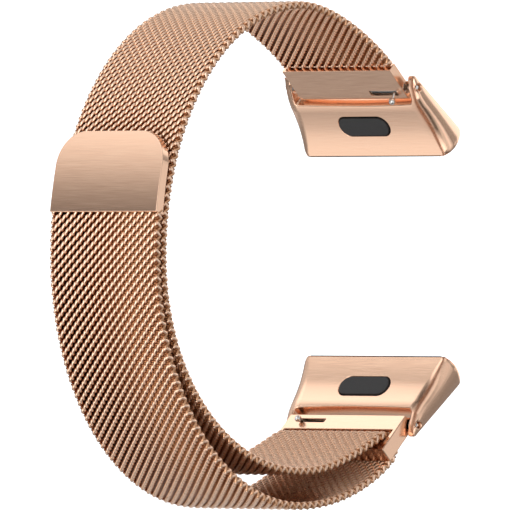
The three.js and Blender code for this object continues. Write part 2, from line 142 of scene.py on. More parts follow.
TUBE_RADII = (0.72, 0.5)
TUBE_LENGTH = 19.0
PIN_RADIUS = 0.36
PIN_CHAMFER = 0.1
PIN_GAP = 0.1  # from a pin's inner end to the spring
BAR_SPAN = 23.8
SPRING_FROM_TO = (-3.4, 0.4)
COIL_TURNS = 6
COIL_RADIUS = 0.28
COIL_WIRE = 0.09
COIL_STEPS = 24
COIL_SIDES = 10
LEVER_AT = -8.0
LEVER_RADIUS = 0.2
LEVER_HEIGHT = {"upper": 2.05, "lower": 2.6}
KNOB_RADIUS = 0.48
KNOB_ARC = (25, 161, 9)  # degrees up from its foot: start, stop and step
KNOB_NECK = 0.12
LEVER_LEAN = {"upper": 0.385, "lower": -0.49}
LEVER_SLOT = (-8.7, -3.6)
SLOT_DEPTH = 3.0
SLOT_HALF = 0.27
PLATE_SLOT = (0.25, 0.45)  # lean and half-width

SHELL_LENGTH = 9.76  # spring-bar axis to the connector's case end
SHELL_WALL = 0.8
SHELL_CORNER = 0.8
SHELL_CORNER_SHARE = 0.6  # how far that corner narrows each side, as a share of its radius
NOTCH_DEPTH = 1.68
NOTCH_HALF = 11.0
NOTCH_BOW = 0.2
NOTCH_CORNER = 0.7
EAR_TIP = -1.63
EAR_HOLE = 0.48
EAR_CURVE = ((-1.63, -1.53, -1.05, -0.53, 0.46, 1.68), (0.4, 0.2, -0.25, -0.67, -1.15, -1.74))
EAR_ROUND = 0.45
EAR_SECTIONS = (-0.9, 1.25)
PANEL_SECTIONS_FROM = 2.4  # past the notch, so that no section of the hull runs along its lip
PANEL_X = (1.68, 3.85, 6.05, 8.02, 9.76)
PANEL_Z = (-1.74, -1.94, -2.3, -2.86, -3.46)
PANEL_HALF = (10.4, 10.6, 11.1, 11.75, 12.5)
MIDDLE_HALF = (12.05, 14.0)
OUTER_HALF = (11.85, 12.7)
SIDE_PEAK = 0.36  # how far up a side its widest line runs
OUTER_RISE = (0.85, 1.56)
CAVITY_START = 3.0
CAVITY_WIDTH = 20.8
BUTTON_SIZE = (8.95, 2.85)
BUTTON_CENTRE = (5.23, -2.19)
BUTTON_SLOPE = 0.169
BUTTON_PROUD = 0.15
BUTTON_GAP = 0.12
FLANGE_EXTRA = (0.9, 0.8)  # how much longer and wider than the cap
FLANGE_DEPTH = (0.1, 0.4)  # past the panel's inner face
CAP_OVERLAP = 0.15

# ---------------------------------------------------------------- finish of the solid pieces
EDGE_WIDTH = {  # of the rounding along each piece's edges, mm
    "clasp_cover": 0.1,
    "clasp_back_plate": 0.05,
    "clasp_magnet": 0.06,
    "end_piece": 0.05,  # a wider one would fold the barrel's thin ring over
    "loop_frame": 0.12,
    "tube": 0.04,
    "lever": 0.03,
    "shell": 0.16,
    "button": 0.1,
    "case_plug": 0.08,
    "latch": 0.05,
    "latch_spring": 0.02,
}
EDGE_ANGLE = 32  # degrees: sharper edges are rounded
FLAT_ANGLE = 0.6  # degrees: faces nearer than this to level are joined
MERGE_DISTANCE = 0.002


# ---------------------------------------------------------------- routes
def toward(point, degrees, distance):
    angle = math.radians(degrees)
    return (point[0] + distance * math.cos(angle), point[1] + distance * math.sin(angle))


def bezier(a, b, c, d):
    t = np.linspace(0, 1, CURVE_STEPS)[:, None]
    a, b, c, d = (np.array(p, float) for p in (a, b, c, d))
    return (1 - t) ** 3 * a + 3 * (1 - t) ** 2 * t * b + 3 * (1 - t) * t**2 * c + t**3 * d


def quarter(start, end, corner):
    start, end, corner = (np.array(p, float) for p in (start, end, corner))
    return bezier(start, start + (corner - start) * QUARTER, end + (corner - end) * QUARTER, end)


def arc(centre, radius, start, end, steps=120):
    angle = np.radians(np.linspace(start, end, steps))
    return np.stack([centre[0] + radius * np.cos(angle), centre[1] + radius * np.sin(angle)], 1)


SIN45 = math.sqrt(0.5)
FOLD_CENTRE = (
    PIVOT[0] + sum(BAR_CENTRE) * SIN45,
    -PIVOT[1] + (BAR_CENTRE[0] - BAR_CENTRE[1]) * SIN45,
)
FOLD_ENTRY = toward(FOLD_CENTRE, FOLD_IN + 90, FOLD_RADIUS)
FOLD_EXIT = toward(FOLD_CENTRE, FOLD_OUT + 90, FOLD_RADIUS)
PLATE_ROOT = (PIVOT[0] - PLATE_REACH * SIN45, PIVOT[1] + PLATE_REACH * SIN45)


class Route:
    """A line in the XZ plane, known by the length along it."""

    def __init__(self, *pieces):
        points = np.concatenate([pieces[0]] + [p[1:] for p in pieces[1:]])
        step = np.linalg.norm(np.diff(points, axis=0), axis=1)
        keep = np.concatenate([[True], step > 1e-6])
        points = points[keep]
        step = np.linalg.norm(np.diff(points, axis=0), axis=1)
        self.at = np.concatenate([[0], np.cumsum(step)])
        self.points = points
        self.length = self.at[-1]
        tangent = np.gradient(points, self.at, axis=0)
        self.tangents = tangent / np.linalg.norm(tangent, axis=1)[:, None]

    def point(self, s, outward=0.0):
        """The places at lengths s, moved off the line to its right-hand side as it runs."""
        x, z = (np.interp(s, self.at, self.points[:, i]) for i in (0, 1))
        tx, tz = (np.interp(s, self.at, self.tangents[:, i]) for i in (0, 1))
        size = np.hypot(tx, tz)
        return x + outward * tz / size, z - outward * tx / size


band_line = [
    bezier(PLATE_ROOT, toward(PLATE_ROOT, 135, 3), (7, LOOP_TOP), (0, LOOP_TOP)),
    quarter((0, LOOP_TOP), (-LOOP_DEPTH, 0), (-LOOP_DEPTH, LOOP_TOP)),
    quarter((-LOOP_DEPTH, 0), (0, -BAND_BOTTOM), (-LOOP_DEPTH, -BAND_BOTTOM)),
    bezier((0, -BAND_BOTTOM), (5.5, -BAND_BOTTOM), toward(FOLD_ENTRY, FOLD_IN + 180, 6.9), FOLD_ENTRY),
]
fold_line = [arc(FOLD_CENTRE, FOLD_RADIUS, FOLD_IN + 90, FOLD_OUT + 90)]
free_back = LOOP_DEPTH + LAYER_STEP
free_top = LOOP_TOP + LAYER_STEP
free_line = [
    bezier(FOLD_EXIT, toward(FOLD_EXIT, FOLD_OUT, 5), (7, -FREE_BOTTOM), (0, -FREE_BOTTOM)),
    quarter((0, -FREE_BOTTOM), (-free_back, 0), (-free_back, -FREE_BOTTOM)),
    quarter((-free_back, 0), (0, free_top), (-free_back, free_top)),
]
band_route = Route(*band_line)
strip = Route(*band_line, *fold_line, *free_line)
FREE_START = Route(*band_line, *fold_line).length


# ---------------------------------------------------------------- making pieces
def piece(name, vertices, faces, material):
    """A mesh object from millimetre points."""
    mesh = bpy.data.meshes.new(name)
    mesh.from_pydata((np.asarray(vertices, float) * MM).tolist(), [], faces)
    mesh.update()
    return finished(name, mesh, material)


def finished(name, mesh, material):
    """A smooth-shaded object with one material, from a mesh in metres."""
    mesh.materials.clear()
    mesh.materials.append(material)
    mesh.polygons.foreach_set("use_smooth", [True] * len(mesh.polygons))
    obj = bpy.data.objects.new(name, mesh)
    bpy.context.scene.collection.objects.link(obj)
    return obj


# ---------------------------------------------------------------- woven wire
def spiral_rows(first, last):
    """Numbers of the rows whose middles lie between two lengths along the strip."""
    start = math.ceil((first - ROW_PITCH / 2) / ROW_PITCH)
    end = math.ceil((last - ROW_PITCH / 2) / ROW_PITCH)
    return np.arange(start, end)


def wire_tubes(across, along, lift, radius):
    """Round wire along paths given across the band, along the strip and off its mid-plane."""
    x, z = strip.point(along, lift)
    path = np.stack([x, np.broadcast_to(across, x.shape), z], -1)
    tangent = np.gradient(path, axis=1)
    tangent /= np.linalg.norm(tangent, axis=-1, keepdims=True)
    side = np.cross(tangent, WIRE_REFERENCE)
    side /= np.linalg.norm(side, axis=-1, keepdims=True)
    other = np.cross(tangent, side)
    angle = 2 * math.pi * np.arange(WIRE_SIDES) / WIRE_SIDES
    ring = side[:, :, None] * np.cos(angle)[:, None] + other[:, :, None] * np.sin(angle)[:, None]
    points = path[:, :, None, :] + radius * ring
    index = np.arange(points.size // 3).reshape(points.shape[:3])
    a = index[:, :-1]
    b = index[:, 1:]
    quads = np.stack([a, np.roll(a, -1, 2), np.roll(b, -1, 2), b], -1).reshape(-1, 4)
    caps = np.concatenate([index[:, 0, ::-1], index[:, -1, :]])
    nx, nz = strip.point(along, lift + 1.0)
    outward = np.stack([nx - x, np.zeros_like(x), nz - z], -1)
    # how far each point stands out of the weave: the mask by which the material paints shade
    rise = np.abs(lift[..., None] + radius * np.einsum("rpsk,rpk->rps", ring, outward))
    return points.reshape(-1, 3), quads, caps, rise.ravel() / (FACE_HEIGHT + radius)


def shade_core_wires(rows):
    """Flat wires straight across the band, at each row's middle and between rows, painted dark: shade that
    fills the hollows of the weave.
    """
    middles = np.arange(2 * rows[0] + 1, 2 * rows[-1] + 3) * ROW_PITCH / 2
    half = TURNS / 2 * COLUMN_PITCH
    angle = 2 * math.pi * np.arange(WIRE_SIDES) / WIRE_SIDES
    shape = (len(middles), 2, WIRE_SIDES)
    along = np.broadcast_to(middles[:, None, None] + SHADE_CORE[0] * np.cos(angle), shape)
    lift = np.broadcast_to(SHADE_CORE[1] * np.sin(angle), shape)
    x, z = strip.point(along, lift)
    y = np.broadcast_to(np.array((-half, half))[None, :, None], x.shape)
    index = np.arange(x.size).reshape(x.shape)
    a, b = index[:, :1], index[:, 1:]
    quads = np.stack([a, np.roll(a, -1, 2), np.roll(b, -1, 2), b], -1).reshape(-1, 4)
    caps = np.concatenate([index[:, 0, ::-1], index[:, -1, :]])
    return np.stack([x, y, z], -1).reshape(-1, 3), quads, caps, np.full(x.size, CORE_PAINTED_TONE)


def woven(name, first, last, material):
    """Interlocked flattened spirals, a row each, joined in pairs by a loop at the band's edges."""
    rows = spiral_rows(first, last)
    turn = np.linspace(0, TURNS, TURNS * STEPS_PER_TURN + 1)
    phase = 2 * math.pi * turn[None, :] + math.pi * (rows[:, None] % 2)
    middle = (rows[:, None] + 0.5) * ROW_PITCH
    along = middle + SPIRAL_HALF * np.sin(phase)
    lift = np.sign(np.cos(phase)) * FACE_HEIGHT * np.abs(np.cos(phase)) ** FLATNESS
    across = np.broadcast_to((turn - TURNS / 2) * COLUMN_PITCH, along.shape)
    parts = [wire_tubes(across, along, lift, WIRE_RADIUS)]

    edge_at = TURNS / 2 * COLUMN_PITCH
    bend = np.linspace(0, math.pi, EDGE_LOOP_STEPS)
    for odd, reach in enumerate(EDGE_LOOPS):
        firsts = rows[rows % 2 == odd]
        between = (firsts[:, None] + 0.5) * ROW_PITCH + ROW_PITCH * (1 - np.cos(bend)) / 2
        height = np.broadcast_to((1 - 2 * odd) * FACE_HEIGHT * np.cos(bend), between.shape)
        for edge in (-1, 1):
            side = np.broadcast_to(edge * (edge_at + reach * np.sin(bend)), between.shape)
            points, quads, caps, rise = wire_tubes(side, between, height, WIRE_RADIUS)
            parts.append((points, quads, caps, np.full_like(rise, EDGE_PAINTED_TONE[odd])))
    # each spiral's last turn, painted dark as shadow between the edge loops
    for edge in (-1, 1):
        side = np.broadcast_to(edge * (edge_at + END_TURN * np.sin(bend)), (len(rows), len(bend)))
        height = np.broadcast_to(FACE_HEIGHT * np.cos(bend), side.shape)
        points, quads, caps, rise = wire_tubes(side, middle + 0 * side, height, END_RADIUS)
        parts.append((points, quads, caps, np.full_like(rise, END_PAINTED_TONE)))
    # dark cross wires: painted shade inside the weave
    parts.append(shade_core_wires(rows))

    mesh = bpy.data.meshes.new(name)
    shift = np.cumsum([0] + [len(p[0]) for p in parts])
    points = np.concatenate([p[0] for p in parts])
    quads = np.concatenate([p[1] + k for p, k in zip(parts, shift)])
    caps = np.concatenate([p[2] + k for p, k in zip(parts, shift)])
    mesh.vertices.add(len(points))
    mesh.vertices.foreach_set("co", (points * MM).astype(np.float32).ravel())
    corners = np.concatenate([quads.ravel(), caps.ravel()])
    sizes = np.concatenate([np.full(len(quads), 4), np.full(len(caps), WIRE_SIDES)])
    mesh.loops.add(len(corners))
    mesh.loops.foreach_set("vertex_index", corners.astype(np.int32))
    mesh.polygons.add(len(sizes))
    mesh.polygons.foreach_set("loop_start", (np.cumsum(sizes) - sizes).astype(np.int32))
    mesh.update(calc_edges=True)
    mesh.validate()
    # stored as the mask for the weave's patina and painted shade
    rise = np.concatenate([p[3] for p in parts])
    height = mesh.attributes.new("height", "FLOAT", "POINT")
    height.data.foreach_set("value", rise.astype(np.float32))
    return finished(name, mesh, material)


# ---------------------------------------------------------------- materials
NOISE_LOW, NOISE_HIGH = 0.3, 0.7  # nearly all of a noise texture's values lie between these


def shader_tree(name):
    material = bpy.data.materials.new(name)
    material.use_nodes = True
    tree = material.node_tree
    shader = tree.nodes["Principled BSDF"]
    return material, tree, shader


def grain(tree, stretch, scale, detail=3.0):
    """Noise in the object's own space, drawn out along the axes with a small stretch value."""
    coords = tree.nodes.new("ShaderNodeTexCoord")
    mapping = tree.nodes.new("ShaderNodeMapping")
    mapping.inputs["Scale"].default_value = stretch
    noise = tree.nodes.new("ShaderNodeTexNoise")
    noise.inputs["Scale"].default_value = scale
    noise.inputs["Detail"].default_value = detail
    tree.links.new(coords.outputs["Object"], mapping.inputs["Vector"])
    tree.links.new(mapping.outputs["Vector"], noise.inputs["Vector"])
    return noise.outputs["Fac"]


def ramp(tree, source, *stops):
    node = tree.nodes.new("ShaderNodeValToRGB")
    for _ in stops[2:]:
        node.color_ramp.elements.new(0.5)
    for element, (at, colour) in zip(node.color_ramp.elements, stops):
        element.position = at
        element.color = (*colour, 1)
    tree.links.new(source, node.inputs["Fac"])
    return node.outputs["Color"]


def spread(tree, source, low, high):
    """A noise's values stretched to run from low to high."""
    node = tree.nodes.new("ShaderNodeMapRange")
    node.inputs["From Min"].default_value = NOISE_LOW
    node.inputs["From Max"].default_value = NOISE_HIGH
    node.inputs["To Min"].default_value = low
    node.inputs["To Max"].default_value = high
    tree.links.new(source, node.inputs["Value"])
    return node.outputs["Result"]


def bump(tree, source, strength, distance):
    node = tree.nodes.new("ShaderNodeBump")
    node.inputs["Strength"].default_value = strength
    node.inputs["Distance"].default_value = distance
    tree.links.new(source, node.inputs["Height"])
    tree.links.new(node.outputs["Normal"], tree.nodes["Principled BSDF"].inputs["Normal"])


def metal(name, light, dark, roughness, stretch, scale, depth):
    """Brushed metal: colour, roughness and a fine bump all follow one drawn-out grain."""
    material, tree, shader = shader_tree(name)
    lines = grain(tree, stretch, scale)
    tree.links.new(ramp(tree, lines, (NOISE_LOW, dark), (NOISE_HIGH, light)), shader.inputs["Base Color"])
    tree.links.new(spread(tree, lines, *roughness), shader.inputs["Roughness"])
    bump(tree, lines, 0.25, depth)
    shader.inputs["Metallic"].default_value = 1
    return material


# Weave tones: the darker ones are partly patina, partly painted shade where the wires hide each other
PATINA_AND_SHADE = (0.34, 0.145, 0.065)
WORN_AND_HALF_SHADE = (0.72, 0.4, 0.23)
POLISHED = (1.0, 0.69, 0.51)


def rose_wire():
    """Polished on the raised faces of the wires, darker down between them with patina and painted shade."""
    material, tree, shader = shader_tree("rose_wire")
    # the height attribute is the mask of the painted shade: low points are painted dark
    height = tree.nodes.new("ShaderNodeAttribute")
    height.attribute_name = "height"
    tone = ramp(tree, height.outputs["Fac"], (0.3, PATINA_AND_SHADE), (0.6, WORN_AND_HALF_SHADE), (0.88, POLISHED))
    tree.links.new(tone, shader.inputs["Base Color"])
    scratches = grain(tree, (1, 1, 1), 4000)
    tree.links.new(spread(tree, scratches, 0.22, 0.36), shader.inputs["Roughness"])
    bump(tree, scratches, 0.15, 0.00002)
    shader.inputs["Metallic"].default_value = 1
    return material


SOOT = (0.014, 0.014, 0.015)
CHARCOAL = (0.03, 0.03, 0.031)


def button_dark():
    material, tree, shader = shader_tree("button_dark")
    fine = grain(tree, (1, 1, 1), 9000, 2)
    tree.links.new(ramp(tree, fine, (NOISE_LOW, SOOT), (NOISE_HIGH, CHARCOAL)), shader.inputs["Base Color"])
    tree.links.new(spread(tree, fine, 0.5, 0.62), shader.inputs["Roughness"])
    bump(tree, fine, 0.3, 0.00001)
    return material


ROSE = (0.96, 0.64, 0.46)
ROSE_SHADE = (0.9, 0.57, 0.4)
ROSE_WIRE = rose_wire()
ROSE_SATIN = metal("rose_satin", ROSE, ROSE_SHADE, (0.2, 0.27), (1, 0.03, 1), 9000, 0.000004)
BRUSHED_CLASP = metal("brushed_clasp", ROSE, ROSE_SHADE, (0.17, 0.22), (1, 0.02, 1), 12000, 0.000003)
STEEL = metal("steel", (0.78, 0.77, 0.75), (0.7, 0.69, 0.67), (0.14, 0.2), (1, 1, 1), 3000, 0.000003)
SPRING_STEEL = metal("spring_steel", (0.5, 0.5, 0.49), (0.4, 0.4, 0.4), (0.22, 0.3), (1, 1, 1), 5000,
                     0.000003)
NICKEL = metal("nickel", (0.62, 0.6, 0.56), (0.55, 0.53, 0.5), (0.25, 0.35), (1, 1, 1), 2500, 0.000003)
BUTTON_DARK = button_dark()

# ---------------------------------------------------------------- the weave's pieces
# Places along the strip are lengths from its upper end, in mm.
FRONT_HINGE, MID_HINGE, BACK_HINGE = 10, 22, 36
PEEL_HINGE = FREE_START + 36
WEAVE_START = 0.3
WEAVE_END = FREE_START + 73.4
HALF_BEND = 5.0  # a length each side of a hinge, taken by bends() but not used; the weave is not bent
PEEL_BEND = 9.0  # the same at the peeling hinge, wider; it sets how far the piece there reaches


def rides(name, body, first, last, *nodes):
    obj = woven(name, first, last, ROSE_WIRE)
    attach(obj, body)
    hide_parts(*nodes)
    return obj


def bends(name, body_a, body_b, first, last, hinge, *nodes, half=HALF_BEND):
    """A woven length between two places along the strip, baked in place and tied to no body; body_a is not
    used.
    """
    obj = woven(name, first, last, ROSE_WIRE)
    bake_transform(obj)
    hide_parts(*nodes)
    return obj


rides("weave_upper_end", "band_upper_end", WEAVE_START, 4, "mesh_upper_end")
bends("weave_top_front", "band_upper_end", "band_top_front", 4, 16, FRONT_HINGE, "mesh_top_front")
bends("weave_top_back", "band_top_front", "band_top_back", 16, 29, MID_HINGE, "mesh_top_back")
bends("weave_upper_back", "band_top_back", "band_body", 29, 43, BACK_HINGE, "mesh_upper_back")
rides("weave_behind", "band_body", 43, 76, "mesh_under_clasp", "mesh_behind")
rides("weave_lower_back", "band_body", 76, 106, "mesh_lower_back", "mesh_bottom")
fold_middle = (band_route.length + FREE_START) / 2
opened_from = FREE_START + 10
rides("weave_lower_front", "band_body", 106, fold_middle, "mesh_lower_front", "mesh_fold")
bends("weave_free_front", "band_body", "free_end_front", fold_middle, opened_from, FREE_START,
      "mesh_free_front")
peel_half = PEEL_BEND + 0.5  # the piece reaches just past PEEL_BEND each side of the hinge
peel_from, peel_to = PEEL_HINGE - peel_half, PEEL_HINGE + peel_half
rides("weave_free_bottom", "free_end_front", opened_from, peel_from, "mesh_free_bottom")
bends("weave_free_lower_back", "free_end_front", "free_end_back", peel_from, peel_to, PEEL_HINGE,
      "mesh_free_lower_back", half=PEEL_BEND)
rides("weave_free_behind", "free_end_back", peel_to, WEAVE_END, "mesh_free_behind")


# ---------------------------------------------------------------- solid pieces
END_TILT = math.pi / 4
UPPER = Matrix.Translation((PIVOT[0], 0, PIVOT[1])) @ Matrix.Rotation(END_TILT, 4, "Y")
LOWER = Matrix.Rotation(math.pi, 4, "X") @ UPPER
ENDS = {"upper": UPPER, "lower": LOWER}


def solid(bm):
    """A working object, in millimetres, from a closed bmesh."""
    bmesh.ops.recalc_face_normals(bm, faces=bm.faces)
    mesh = bpy.data.meshes.new("work")
    bm.to_mesh(mesh)
    bm.free()
    obj = bpy.data.objects.new("work", mesh)
    bpy.context.scene.collection.objects.link(obj)
    return obj


def swept(outline, low, high, along="Y"):
    """A closed outline carried from low to high: (x, z) points along Y, or (x, y) points along Z."""
    bm = bmesh.new()
    flat = [(a, low, b) if along == "Y" else (a, b, low) for a, b in outline]
    cap = bm.faces.new([bm.verts.new(p) for p in flat])
    made = bmesh.ops.extrude_face_region(bm, geom=[cap])["geom"]
    moved = [g for g in made if isinstance(g, bmesh.types.BMVert)]
    step = (0, high - low, 0) if along == "Y" else (0, 0, high - low)
    bmesh.ops.translate(bm, vec=step, verts=moved)
    return solid(bm)


def lathed(profile, sides=48):
    """Turned about Y from (radius, y) points; the first and last points lie on the axis."""
    bm = bmesh.new()
    rings = []
    for radius, y in profile:
        count = 1 if radius < 1e-6 else sides
        turn = [2 * math.pi * i / sides for i in range(count)]
        rings.append([bm.verts.new((radius * math.cos(a), y, radius * math.sin(a))) for a in turn])
    for one, two in zip(rings, rings[1:]):
        for i in range(sides):
            j = i + 1
            corners = [one[i % len(one)], one[j % len(one)], two[j % len(two)], two[i % len(two)]]
            bm.faces.new(list(dict.fromkeys(corners)))
    return solid(bm)


def rod(radius, low, high, chamfer=0.0, sides=48):
    inner = radius - chamfer
    side = [(radius, low + chamfer), (radius, high - chamfer)]
    if chamfer > 0:
        side = [(inner, low), *side, (inner, high)]
    return lathed([(0, low), *side, (0, high)], sides)


def block(x0, x1, y0, y1, z0, z1):
    return swept([(x0, z0), (x1, z0), (x1, z1), (x0, z1)], y0, y1)


def baked(obj):
    """The object's mesh with its modifiers applied."""
    graph = bpy.context.evaluated_depsgraph_get()
    mesh = bpy.data.meshes.new_from_object(obj.evaluated_get(graph))
    obj.modifiers.clear()
    obj.data = mesh
    return obj


def combined(body, operation, *tools):
    for tool in tools:
        modifier = body.modifiers.new("combine", "BOOLEAN")
        modifier.operation = operation
        modifier.solver = "EXACT"
        modifier.object = tool
        baked(body)
        bpy.data.objects.remove(tool)
    return body


def joined(body, *tools):
    return combined(body, "UNION", *tools)


def without(body, *tools):
    """The body cut by tools, which reach past it wherever the cut is open."""
    return combined(body, "DIFFERENCE", *tools)


def moved(obj, matrix):
    obj.data.transform(matrix)
    return obj


def rounded(obj, width, segments=3):
    """Fine rounded edges, with the flats kept flat."""
    bm = bmesh.new()
    bm.from_mesh(obj.data)
    bmesh.ops.remove_doubles(bm, verts=bm.verts, dist=MERGE_DISTANCE)
    bmesh.ops.dissolve_limit(bm, angle_limit=math.radians(FLAT_ANGLE), verts=bm.verts, edges=bm.edges)
    bm.to_mesh(obj.data)
    bm.free()
    obj.data.polygons.foreach_set("use_smooth", [True] * len(obj.data.polygons))
    bevel = obj.modifiers.new("edges", "BEVEL")
    bevel.width = width
    bevel.segments = segments
    bevel.limit_method = "ANGLE"
    bevel.angle_limit = math.radians(EDGE_ANGLE)
    bevel.use_clamp_overlap = False
    bevel.miter_outer = "MITER_ARC"
    normals = obj.modifiers.new("normals", "WEIGHTED_NORMAL")
    normals.keep_sharp = True
    return baked(obj)


def shown(name, obj, matrix, material, body, slot, *nodes):
    """Names a working object, scales it to metres in place and ties it to its CAD body."""
    mesh = obj.data
    mesh.transform(Matrix.Scale(MM, 4) @ matrix)
    bpy.data.objects.remove(obj)
    mesh.name = name
    obj = finished(name, mesh, material)
    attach(obj, body)
    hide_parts(*nodes)
    return obj


def fitted(name, matrix, material, body, slot, width):
    """A CAD node's own shape, redrawn with rounded edges, in its place."""
    bm = bmesh.new()
    bm.from_mesh(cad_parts[name].data)
    bmesh.ops.transform(bm, matrix=matrix.inverted() @ Matrix.Scale(1 / MM, 4), verts=bm.verts)
    bmesh.ops.remove_doubles(bm, verts=bm.verts, dist=MERGE_DISTANCE)
    return shown(f"{name}_part", rounded(solid(bm), width), matrix, material, body, slot, name)


def arc_points(centre, radius, start, end, steps=16):
    return [tuple(p) for p in arc(centre, radius, start, end, steps + 1)]


def curve_through(xs, ys, x):
    """A smooth curve through given points."""
    xs, ys = np.asarray(xs, float), np.asarray(ys, float)
    slope = np.gradient(ys, xs)
    i = np.clip(np.searchsorted(xs, x) - 1, 0, len(xs) - 2)
    h = xs[i + 1] - xs[i]
    t = (x - xs[i]) / h
    start = (1 + 2 * t) * (1 - t) ** 2 * ys[i] + t * (1 - t) ** 2 * h * slope[i]
    end = t * t * (3 - 2 * t) * ys[i + 1] + t * t * (t - 1) * h * slope[i + 1]
    return start + end


# ---------------------------------------------------------------- clasp
def clasp_frame():
    (x0, z0), (x1, z1) = CLASP_OUTER
    tilt = math.atan2(x1 - x0, z1 - z0)
    length = math.hypot(x1 - x0, z1 - z0)
    place = Matrix.Translation((x0, 0, z0)) @ Matrix.Rotation(tilt - math.pi / 2, 4, "Y")
    return length, tilt, place


CLASP_LENGTH, CLASP_TILT, CLASP_PLACE = clasp_frame()


def clasp_outline(start, inset):
    half = CLASP_WIDTH / 2 - inset
    end = CLASP_LENGTH - inset
    corner = CLASP_CORNER - inset
    return [
        (start, -half),
        *arc_points((end - corner, -half + corner), corner, -90, 0, 24),
        *arc_points((end - corner, half - corner), corner, 0, 90, 24),
        (start, half),
    ]


def clasp_cover():
    low, top = CLASP_THICKNESS
    cover = swept(clasp_outline(0, 0), -low, 0, "Z")
    cover = without(cover, swept(clasp_outline(-1, CLASP_WALL), -low - 1, -CLASP_WALL, "Z"))
    rounded(cover, EDGE_WIDTH["clasp_cover"])
    bm = bmesh.new()
    bm.from_mesh(cover.data)
    for x in np.arange(CLASP_SLICE, CLASP_LENGTH, CLASP_SLICE):
        everything = bm.verts[:] + bm.edges[:] + bm.faces[:]
        bmesh.ops.bisect_plane(bm, geom=everything, plane_co=(x, 0, 0), plane_no=(1, 0, 0))
    for v in bm.verts:
        u = v.co.x / CLASP_LENGTH
        v.co.z = v.co.z * (low + (top - low) * u) / low + 4 * CLASP_BOW * u * (1 - u)
        v.co.x += v.co.z * math.tan(CLASP_TILT) * (1 - u)
    bm.to_mesh(cover.data)
    bm.free()
    normals = cover.modifiers.new("normals", "WEIGHTED_NORMAL")
    normals.keep_sharp = True
    return baked(cover)


shown("clasp_cover_part", clasp_cover(), CLASP_PLACE, BRUSHED_CLASP, "free_end_back", "rose_metal",
      "clasp_cover")
fitted("clasp_back_plate", CLASP_PLACE, ROSE_SATIN, "free_end_back", "rose_metal",
       EDGE_WIDTH["clasp_back_plate"])
for number in (1, 2, 3):
    fitted(f"clasp_magnet_{number}", CLASP_PLACE, NICKEL, "free_end_back", "magnet",
           EDGE_WIDTH["clasp_magnet"])


# ---------------------------------------------------------------- end piece and loop frame
def lever_slot(lean, half):
    cut = block(-half, half, LEVER_SLOT[0], LEVER_SLOT[1], -SLOT_DEPTH, 0)
    return moved(cut, Matrix.Rotation(-lean, 4, "Y"))


def end_piece():
    low, high = PLATE_FACES
    nose = (PLATE_NOSE - NOSE_RADIUS, low + NOSE_RADIUS)
    outline = [(-PLATE_REACH, low), *arc_points(nose, NOSE_RADIUS, -90, 0), (PLATE_NOSE, high - NOSE_SLOPE),
               (PLATE_NOSE - NOSE_SLOPE, high), (-PLATE_REACH, high)]
    half = PLATE_WIDTH / 2
    body = joined(swept(outline, -half, half), rod(PLATE_BARREL, -half, half, 0, BARREL_SIDES))
    slot = lever_slot(*PLATE_SLOT)
    return rounded(without(body, rod(BORE_RADIUS, -half - 1, half + 1), slot), EDGE_WIDTH["end_piece"])


def loop_frame():
    low, high = FRAME_FACES
    half = FRAME_WIDTH / 2
    body = block(-FRAME_SLOT_EDGE, FRAME_FRONT, -half, half, low, high)
    bar = [*arc_points(BAR_CENTRE, BAR_RADIUS, 90, -90, 24), (-FRAME_END, low), (-FRAME_END, high)]
    arms = [block(BAR_CENTRE[0], FRAME_ARM_END, side - FRAME_ARM / 2, side + FRAME_ARM / 2, low, high)
            for side in (-half + FRAME_ARM / 2, half - FRAME_ARM / 2)]
    joined(body, rod(BARREL_RADIUS, -half, half, 0, BARREL_SIDES), swept(bar, -half, half), *arms)
    slot = lever_slot(LEVER_LEAN["lower"], SLOT_HALF)
    return rounded(without(body, rod(BORE_RADIUS, -half - 1, half + 1), slot), EDGE_WIDTH["loop_frame"])


shown("upper_end_piece_part", end_piece(), UPPER, ROSE_SATIN, "band_upper_end", "rose_metal",
      "upper_end_piece")
shown("loop_frame_part", loop_frame(), LOWER, ROSE_SATIN, "frame", "rose_metal", "loop_frame")


# ---------------------------------------------------------------- spring bars and levers
def spring_bar_tube(end):
    outer, inner = TUBE_RADII
    half = TUBE_LENGTH / 2
    slot = lever_slot(LEVER_LEAN[end], SLOT_HALF)
    tube = without(rod(outer, -half, half), rod(inner, -half - 1, half + 1), slot)
    return rounded(tube, EDGE_WIDTH["tube"])


def fixed_pin():
    return rod(PIN_RADIUS, SPRING_FROM_TO[1] + PIN_GAP, BAR_SPAN / 2, PIN_CHAMFER)


def sliding_lever(end):
    """The spring bar's short pin, with the thumb lever and its round knob standing on it."""
    pin = rod(PIN_RADIUS, -BAR_SPAN / 2, SPRING_FROM_TO[0] - PIN_GAP, PIN_CHAMFER)
    reach = LEVER_HEIGHT[end]
    knob = [(KNOB_RADIUS * math.sin(a), reach - KNOB_RADIUS * math.cos(a))
            for a in np.radians(np.arange(*KNOB_ARC))]
    neck = knob[0][0]
    profile = [(0, 0), (LEVER_RADIUS, 0), (LEVER_RADIUS, reach - KNOB_RADIUS - KNOB_NECK), (neck, knob[0][1]),
               *knob[1:], (0, knob[-1][1])]
    arm = moved(lathed(profile, 32), Matrix.Rotation(-math.pi / 2, 4, "X"))
    moved(arm, Matrix.Translation((0, LEVER_AT, 0)) @ Matrix.Rotation(-LEVER_LEAN[end], 4, "Y"))
    return joined(pin, arm)


